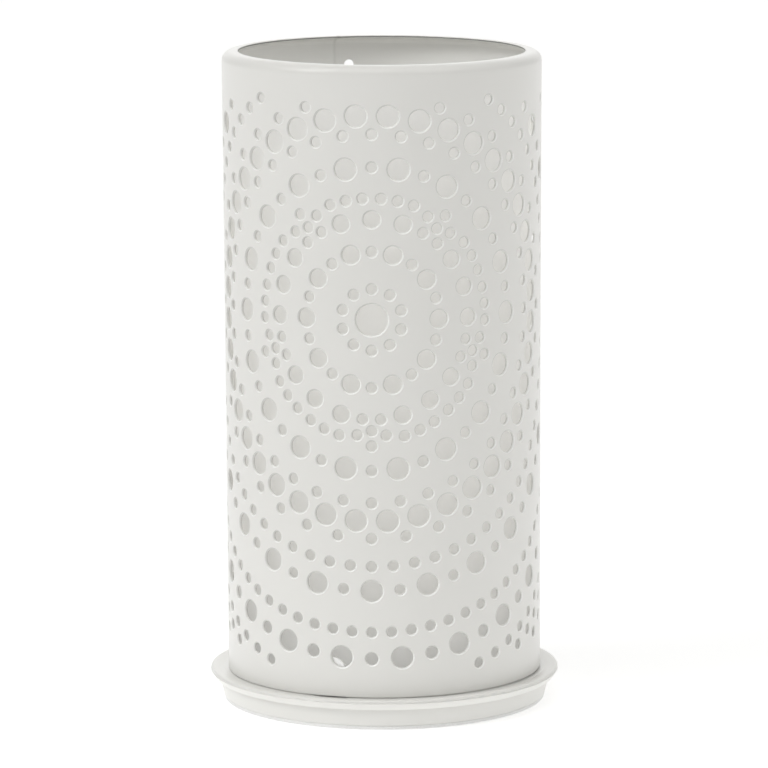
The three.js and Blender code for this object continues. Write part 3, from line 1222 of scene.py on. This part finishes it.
# ---------------------------------------------------------------- base
@dataclass
class Base:
    """Foam pad, shallow pan and a pressed plate with a hemmed rim, a well and three lugs."""

    sheet: float = 0.6 * MM
    flange_end: float = 34.65 * MM
    rim_rise: float = 0.3 * MM
    rim_drop: float = 2.1 * MM
    rim_tuck: float = 1.0 * MM
    rim_corner: float = 0.5 * MM
    rim_chamfer: float = 0.29
    rim_groove: float = 0.2 * MM
    well_radius: float = 19.5 * MM
    well_slope: float = 1.5 * MM
    well_depth: float = 2.5 * MM
    foot_inset: float = 1.95 * MM
    foot_taper: float = 0.85 * MM
    foot_corner: float = 0.25 * MM
    foot_rows: int = 8
    pad_corner: float = 0.35 * MM
    lug_count: int = 3
    lug_degrees: float = -19.3
    lug_width: float = 6.0 * MM
    lug_sheet: float = 0.8 * MM
    lug_foot: float = 6.0 * MM
    lug_reach: float = 0.32 * MM
    lug_rise: float = 0.15 * MM
    lug_ramp: float = 2.0 * MM
    lug_arc: tuple[float, ...] = (15.0, 30.0, 45.0, 60.0, 72.0, 82.0)
    lug_ease: float = 0.2
    lug_crease: float = 40.0
    # Lighter than the other enamel: painted light on the lugs, which sit in shade behind the holes.
    lug_painted_light_colours: tuple[Colour, Colour] = ((0.97, 0.97, 0.95, 1.0), (0.96, 0.96, 0.94, 1.0))
    slot_gap: float = 0.3 * MM
    segments: int = 160

    def __post_init__(self) -> None:
        """Takes the base's size from the frame."""
        self.plate = span_of("base_plate")
        self.pan = span_of("foot_pan")
        self.pad = span_of("base_pad")
        self.plate_top = self.plate.top - self.rim_rise
        self.lug_face = reach_of("locating_lug_1", self.lug_degrees)
        self.lug_top = span_of("locating_lug_1").top + self.lug_rise

    def pad_mesh(self) -> Mesh:
        """The pad, with a soft lower corner.

        Returns:
            A closed mesh at its place.
        """
        pad = self.pad
        corners = [
            Corner(0, pad.bottom),
            Corner(pad.radius, pad.bottom, self.pad_corner),
            Corner(pad.radius, pad.top, self.pad_corner / 4),
            Corner(0, pad.top),
        ]
        return turned_mesh("base_pad", corners, self.segments)

    def pan_mesh(self) -> Mesh:
        """The pan, whose wall flares to an upright and ends in a short flange.

        Returns:
            A closed mesh at its place.
        """
        pan = self.pan
        top_radius = self.plate.radius - self.foot_inset
        foot_radius = top_radius - self.foot_taper
        bend = pan.bottom + self.foot_corner
        wall_top = pan.top - self.sheet
        outside = []
        for step in range(1, self.foot_rows + 1):
            share = step / self.foot_rows
            flare = self.foot_taper * math.sin(share * math.pi / 2)
            outside.append(Corner(foot_radius + flare, bend + (wall_top - bend) * share))
        inside = [Corner(corner.radius - self.sheet, corner.height) for corner in outside[::-1]]
        corners = [
            Corner(0, pan.bottom),
            Corner(foot_radius, pan.bottom, self.foot_corner),
            *outside,
            Corner(pan.radius, wall_top, self.sheet / 4),
            Corner(pan.radius, pan.top),
            Corner(top_radius - self.sheet, pan.top),
            *inside[:-1],
            Corner(foot_radius - self.sheet, pan.bottom + self.sheet, self.foot_corner),
            Corner(0, pan.bottom + self.sheet),
        ]
        return turned_mesh("foot_pan", corners, self.segments)

    def plate_mesh(self) -> Mesh:
        """The plate before its slots are cut.

        Returns:
            A closed mesh at its place.
        """
        plate = self.plate
        top = self.plate_top
        under = top - self.sheet
        floor = top - self.well_depth
        rim_start = plate.radius - self.rim_corner - self.sheet
        brim = self.well_radius + self.well_slope
        slope = math.atan2(self.well_depth, self.well_slope)
        shift = self.sheet * math.tan(slope / 2)
        groove = self.rim_groove
        chamfer = self.rim_corner * self.rim_chamfer
        rim = (
            (-self.sheet, -self.sheet, self.sheet * 0.2),
            (-self.rim_tuck - self.sheet, -self.rim_drop, 0.0),
            (-self.rim_tuck, -self.rim_drop, self.sheet * 0.2),
            (0.0, -self.rim_corner - groove, groove * 0.1),
            (-groove, -self.rim_corner, groove * 0.1),
            (-groove * ARC_MIDDLE, groove * (1 - ARC_MIDDLE) - self.rim_corner, groove * 0.1),
            (-chamfer, -chamfer, self.rim_corner * 0.3),
            (-self.rim_corner, 0.0, self.rim_corner * 0.2),
        )
        corners = [
            Corner(0, floor - self.sheet),
            Corner(self.well_radius + shift, floor - self.sheet, self.sheet * 1.5),
            Corner(brim + shift, under, self.sheet * 0.5),
            Corner(self.flange_end, under),
            Corner(rim_start, plate.top - self.sheet),
            *(Corner(plate.radius + out, plate.top + up, fillet) for out, up, fillet in rim),
            Corner(rim_start, plate.top, self.sheet),
            Corner(self.flange_end, top, self.sheet),
            Corner(brim, top, self.sheet * 1.2),
            Corner(self.well_radius, floor, self.sheet * 0.5),
            Corner(0, floor),
        ]
        return turned_mesh("base_plate", corners, self.segments)

    def slot_tools(self) -> Object:
        """Blocks in the places of the lugs' slots.

        Returns:
            An object that holds all the blocks.
        """
        half = self.lug_width / 2 + self.slot_gap
        shape = bmesh.new()
        for index in range(self.lug_count):
            turn = self.lug_degrees + index * 360 / self.lug_count
            outward, aside = heading(turn), heading(turn + 90) * half
            near = outward * (self.lug_face + self.slot_gap)
            far = outward * (self.lug_face - self.lug_sheet - self.slot_gap)
            places = (near + aside, near - aside, far - aside, far + aside)
            heights = (self.plate_top - 2 * self.sheet, self.plate_top + self.sheet)
            loft(shape, [[place + Vector((0, 0, height)) for place in places] for height in heights])
        return link_object("slot_tools", closed_mesh("slot_tools", shape))

    def blade_mesh(self) -> Mesh:
        """One lug at the front: a foot, a bend and a round-topped blade, with eased edges.

        Returns:
            A closed mesh at its place.
        """
        sheet = self.lug_sheet
        ease = sheet * self.lug_ease
        half = self.lug_width / 2
        deep = self.plate_top - self.sheet - sheet / 2
        middle = self.lug_face - sheet / 2
        shoulder = self.lug_top - half
        bend = sheet * 0.5
        path = [
            (self.lug_face - self.lug_foot, deep, 0.0, half),
            (middle - bend, deep, 0.0, half),
            (middle - bend * ARC_MIDDLE, deep + bend * ARC_MIDDLE, 45.0, half),
            (middle, deep + bend, 90.0, half),
            (middle, self.plate_top, 90.0, half),
            (middle, self.plate_top + self.lug_ramp, 90.0, half),
            (middle, shoulder, 90.0, half),
        ]
        for degrees in self.lug_arc:
            angle = math.radians(degrees)
            height = shoulder + (half - ease * ARC_MIDDLE) * math.sin(angle)
            path.append((middle, height, 90.0, half * math.cos(angle)))
        sections = []
        for radius, height, pitch, width in path:
            across = Vector((0, -math.sin(math.radians(pitch)), -math.cos(math.radians(pitch))))
            centre = Vector((0, -radius, height))
            thick = sheet / 2
            side = max(width - ease, 0.0)
            loop = (
                (side, thick),
                (width, thick - ease),
                (width, ease - thick),
                (side, -thick),
                (side / 2, -thick),
                (0, -thick),
                (-side / 2, -thick),
            )
            loop += tuple((-a, -b) for a, b in loop)
            sections.append([self.curved(centre + Vector((a, 0, 0)) + across * b) for a, b in loop])
        return lofted_mesh("locating_lug", sections, self.lug_crease)

    def curved(self, place: Vector) -> Vector:
        """Bends a point of the flat lug to the sleeve's curve, above the plate.

        Args:
            place: The point on the flat lug at the front.

        Returns:
            The point on the bent lug.
        """
        share = min(max((place.z - self.plate_top) / self.lug_ramp, 0.0), 1.0)
        radius = self.lug_reach * share - place.y
        turn = place.x / radius
        bent = Vector((radius * math.sin(turn), -radius * math.cos(turn), place.z))
        return Vector((place.x, -radius, place.z)).lerp(bent, share)

    def lug_recipe(self) -> Recipe:
        """The tree that sets lugs evenly round the axis.

        Returns:
            The tree.
        """
        recipe = Recipe("lug_ring")
        count = recipe.input("Count", "NodeSocketInt")
        turn = recipe.input("First Turn") + (recipe.node("GeometryNodeInputIndex") / count) * (2 * math.pi)
        sockets = {"Count": count, "Offset": (0, 0, 0)}
        points = recipe.node("GeometryNodeMeshLine", {"mode": "OFFSET"}, sockets)
        sockets = {"Points": points, "Instance": recipe.source, "Rotation": recipe.join(0.0, 0.0, turn)}
        recipe.finish(recipe.node("GeometryNodeInstanceOnPoints", {}, sockets))
        return recipe

    def build(self) -> None:
        """Builds the base's pieces."""
        foam = Foam()
        enamel = Enamel()
        white = enamel.build()
        mount(link_object("base_pad_foam", self.pad_mesh(), foam.build()), "base", foam.slot, "base_pad")
        pan = link_object("foot_pan_pressing", self.pan_mesh(), white)
        mount(pan, "base", enamel.slot, "foot_pan")
        mount(self.slotted_plate(white), "base", enamel.slot, "base_plate")
        # The lugs' enamel is painted lighter, in place of light in their shaded recess.
        painted_light_lug_enamel = Enamel("lug_enamel", colour=self.lug_painted_light_colours[0], shaded=self.lug_painted_light_colours[1])
        values = {
            "Material": painted_light_lug_enamel.build(),
            "Count": self.lug_count,
            "First Turn": math.radians(self.lug_degrees),
        }
        lugs = self.lug_recipe().run("locating_lugs", self.blade_mesh(), values)
        nodes = [f"locating_lug_{index + 1}" for index in range(self.lug_count)]
        mount(lugs, "base", painted_light_lug_enamel.slot, *nodes)

    def slotted_plate(self, white: Material) -> Object:
        """Builds the plate and cuts its slots.

        Args:
            white: The plate's material.

        Returns:
            The finished piece.
        """
        plate = link_object("base_plate_pressing", self.plate_mesh())
        tools = self.slot_tools()
        cutter = plate.modifiers.new("Slots", "BOOLEAN")
        cutter.operation = "DIFFERENCE"
        cutter.solver = "MANIFOLD"
        cutter.object = tools
        settle(plate)
        bpy.data.objects.remove(tools)
        plate.data.materials.clear()
        plate.data.materials.append(white)
        return plate


# ---------------------------------------------------------------- diffuser
@dataclass
class Diffuser:
    """A plain frosted tube with fire-polished ends."""

    wall: float = 1.6 * MM
    polish: float = 0.45 * MM
    segments: int = 128

    def build(self) -> None:
        """Builds the tube."""
        span = span_of("diffuser_tube")
        inner = span.radius - self.wall
        corners = [
            Corner(inner, span.bottom, self.polish),
            Corner(span.radius, span.bottom, self.polish),
            Corner(span.radius, span.top, self.polish),
            Corner(inner, span.top, self.polish),
        ]
        finish = Frosting()
        mesh = turned_mesh("diffuser_frosted", corners, self.segments, BLUNT)
        tube = link_object(mesh.name, mesh, finish.build())
        mount(tube, "diffuser", finish.slot, "diffuser_tube")


# ---------------------------------------------------------------- tealight
@dataclass
class Tealight:
    """Pressed cup with a beaded rim, wax, a sustainer clip and a braided wick."""

    cup_sheet: float = 0.4 * MM
    bead: float = 0.32 * MM
    foot_round: float = 1.2 * MM
    wax_gap: float = 0.3 * MM
    wax_edge: float = 0.1 * MM
    meniscus: float = 0.5 * MM
    clip_sheet: float = 0.5 * MM
    neck_wall: float = 0.6 * MM
    wick_gap: float = 0.3 * MM
    wick_strands: int = 3
    wick_turns: float = 5.0
    wick_valley: float = 0.18
    wick_taper: float = 0.35
    wick_tip: float = 1 / 8
    wick_sides: int = 24
    wick_rows: int = 60
    segments: int = 96

    def cup_mesh(self) -> Mesh:
        """The cup, with a round foot and a bead at its rim.

        Returns:
            A closed mesh at its place.
        """
        cup = span_of("tealight_cup")
        wall = cup.radius - self.bead * 0.9
        inner = wall - self.cup_sheet
        floor = cup.bottom + self.cup_sheet
        neck = cup.top - 2 * self.bead
        corners = [
            Corner(0, cup.bottom),
            Corner(wall, cup.bottom, self.foot_round),
            Corner(wall, neck - self.bead * 0.4, self.bead),
            Corner(cup.radius, neck + self.bead * 0.2, self.bead * 0.5),
            Corner(cup.radius, cup.top, self.bead * 0.9),
            Corner(inner, cup.top, self.bead * 0.6),
            Corner(inner, floor, self.foot_round * 0.7),
            Corner(0, floor),
        ]
        return turned_mesh("tealight_cup_foil", corners, self.segments)

    def wax_mesh(self) -> Mesh:
        """The wax, which climbs a little at the cup and at the clip's neck.

        Returns:
            A closed mesh at its place.
        """
        wax = span_of("tealight_wax")
        clip = span_of("tealight_wick_clip")
        wick = span_of("tealight_wick")
        neck = wick.radius + self.wick_gap + self.neck_wall + self.wax_gap
        hollow = clip.radius + self.wax_gap
        over = clip.bottom + self.clip_sheet + self.wax_gap
        level = wax.top - self.meniscus
        corners = [
            Corner(hollow, wax.bottom),
            Corner(wax.radius, wax.bottom, self.foot_round * 0.5),
            Corner(wax.radius, wax.top, self.wax_edge),
            Corner(wax.radius - self.meniscus, level, self.meniscus),
            Corner(neck + self.meniscus * 1.6, level, self.meniscus),
            Corner(neck, wax.top - self.meniscus * 0.4, self.wax_edge),
            Corner(neck, over),
            Corner(hollow, over),
        ]
        return turned_mesh("tealight_wax_fill", corners, self.segments, BLUNT)

    def clip_mesh(self) -> Mesh:
        """The sustainer clip: a disc with an eyelet that holds the wick.

        Returns:
            A closed mesh at its place.
        """
        clip = span_of("tealight_wick_clip")
        wick = span_of("tealight_wick")
        bore = wick.radius + self.wick_gap
        outer = bore + self.neck_wall
        disc = clip.bottom + self.clip_sheet
        ease = self.clip_sheet * 0.3
        corners = [
            Corner(0, clip.bottom),
            Corner(clip.radius, clip.bottom, ease),
            Corner(clip.radius, disc, ease),
            Corner(outer, disc, ease * 2),
            Corner(outer, clip.top, ease),
            Corner(bore, clip.top, ease),
            Corner(bore, disc),
            Corner(0, disc),
        ]
        return turned_mesh("tealight_clip_eyelet", corners, self.segments)

    def wick_mesh(self) -> Mesh:
        """The wick: strands laid round one another, closed at both ends.

        Returns:
            A closed mesh at its place.
        """
        wick = span_of("tealight_wick")
        sections = []
        for row in range(self.wick_rows + 1):
            share = row / self.wick_rows
            taper = 1 - self.wick_taper * max(0.0, 1 - (1 - share) / self.wick_tip) ** 2
            lay = share * self.wick_turns * 360
            loop = []
            for side in range(self.wick_sides):
                turn = side * 360 / self.wick_sides
                lobe = abs(math.sin(math.radians(turn - lay) * self.wick_strands / 2))
                radius = wick.radius * taper * (1 - self.wick_valley * (1 - lobe))
                height = wick.bottom + (wick.top - wick.bottom) * share
                loop.append(heading(turn) * radius + Vector((0, 0, height)))
            sections.append(loop)
        return lofted_mesh("tealight_wick_braid", sections, BLUNT)

    def build(self) -> None:
        """Builds the tealight's pieces."""
        foil = Metal("cup_foil", "cup_aluminium", (0.78, 0.79, 0.80, 1.0), 0.32)
        steel = Metal("clip_steel", "clip_steel", (0.62, 0.62, 0.61, 1.0), 0.4)
        made = (
            (self.cup_mesh(), foil, "tealight_cup"),
            (self.wax_mesh(), Paraffin(), "tealight_wax"),
            (self.clip_mesh(), steel, "tealight_wick_clip"),
            (self.wick_mesh(), Cotton(), "tealight_wick"),
        )
        for mesh, finish, node in made:
            mount(link_object(mesh.name, mesh, finish.build()), "tealight", finish.slot, node)


# ---------------------------------------------------------------- studio
class Softbox(NamedTuple):
    """A soft light far away: its direction in degrees, how tight it is, its strength and its tint."""

    azimuth: float
    elevation: float
    tightness: float
    strength: float
    tint: Triple = (1.0, 1.0, 1.0)

    def direction(self) -> Vector:
        """The unit vector towards the light, with the azimuth from the front towards +X."""
        rise = math.radians(self.elevation)
        return heading(self.azimuth) * math.cos(rise) + Vector((0, 0, math.sin(rise)))


@dataclass
class Studio:
    """Pale floor, soft light from all round, and the camera."""

    distance: float = 1037.4 * MM
    camera_height: float = 237.0 * MM
    pitch: float = 9.259
    roll: float = -0.26
    pan: float = 0.0103
    lens: float = 229.8
    floor_radius: float = 6.0
    floor_colour: Colour = (0.95, 0.95, 0.95, 1.0)
    floor_roughness: float = 0.9
    floor_glow: float = 0.17
    pool_glow: float = 0.18
    pool_radius: float = 0.16
    clip: tuple[float, float] = (0.01, 50.0)
    softboxes: tuple[Softbox, ...] = (
        Softbox(-60, 60, 15, 1.80, (1.0, 0.997, 0.98)),
        Softbox(60, 60, 15, 1.3, (1.0, 0.99, 0.955)),
        Softbox(-62, 40, 80, 8.1),
        Softbox(-90, 15, 5, 0.23),
        Softbox(-10, 58, 15, 1.2),
        Softbox(80, 25, 5, 0.40),
        Softbox(130, 30, 5, 0.42),
        Softbox(-140, 50, 15, 0.3),
        Softbox(180, 10, 5, 1.19),
    )

    def build(self) -> None:
        """Builds the floor, the light and the camera."""
        self.build_floor()
        self.build_light()
        self.build_camera()

    def build_floor(self) -> None:
        """A plain pale floor, a little brighter round the holder."""
        mesh = bpy.data.meshes.new("floor")
        reach = self.floor_radius
        corners = [(-reach, -reach, 0), (reach, -reach, 0), (reach, reach, 0), (-reach, reach, 0)]
        mesh.from_pydata(corners, [], [(0, 1, 2, 3)])
        paint = Paint("floor")
        away = paint.vector_math("LENGTH", {0: paint.place}, "Value") / self.pool_radius
        glow = (-(away * away)).apply("EXPONENT") * self.pool_glow + self.floor_glow
        sockets = {
            "Base Color": self.floor_colour,
            "Roughness": self.floor_roughness,
            "Emission Color": paint.join(glow, glow, glow),
            "Emission Strength": 1.0,
        }
        link_object("floor", mesh, paint.principled(sockets))

    def build_light(self) -> None:
        """A surround that holds the softboxes and looks white to the camera."""
        scene = bpy.context.scene
        scene.view_settings.view_transform = "Standard"
        scene.world = bpy.data.worlds.new("surround")
        scene.world.use_nodes = True
        scene.world.node_tree.nodes.clear()
        graph = Graph(scene.world.node_tree)
        towards = graph.node("ShaderNodeTexCoord", {}, {}, "Generated")
        light = graph.join(0.0, 0.0, 0.0)
        for box in self.softboxes:
            facing = graph.vector_math("DOT_PRODUCT", {0: towards, 1: box.direction()}, "Value")
            amount = ((facing - 1) * box.tightness).apply("EXPONENT") * box.strength
            share = graph.vector_math("SCALE", {0: box.tint, "Scale": amount})
            light = graph.vector_math("ADD", {0: light, 1: share})
        glow = graph.node("ShaderNodeBackground", {}, {"Color": light, "Strength": 1.0})
        plain = graph.node("ShaderNodeBackground", {}, {"Color": (1, 1, 1, 1), "Strength": 1.0})
        seen = graph.node("ShaderNodeLightPath", {}, {}, "Is Camera Ray")
        both = graph.node("ShaderNodeMixShader", {}, {0: seen, 1: glow, 2: plain})
        graph.close(both, "ShaderNodeOutputWorld")

    def build_camera(self) -> None:
        """The camera, a little above the holder and in front of it."""
        data = bpy.data.cameras.new("camera")
        data.lens = self.lens
        data.clip_start, data.clip_end = self.clip
        camera = bpy.data.objects.new("camera", data)
        bpy.context.scene.collection.objects.link(camera)
        tilt = Euler((math.radians(90 - self.pitch), 0, math.radians(-self.pan))).to_matrix()
        twist = Euler((0, 0, math.radians(self.roll))).to_matrix()
        camera.rotation_euler = (tilt @ twist).to_euler()
        camera.location = (0, -self.distance, self.camera_height)
        bpy.context.scene.camera = camera


def main() -> None:
    """Builds the holder's pieces in order, and the studio round them."""
    logging.basicConfig(level=logging.INFO, format="%(name)s: %(message)s")
    Studio().build()
    Base().build()
    Diffuser().build()
    Sleeve().build()
    Tealight().build()


if __name__ == "__main__":
    main()
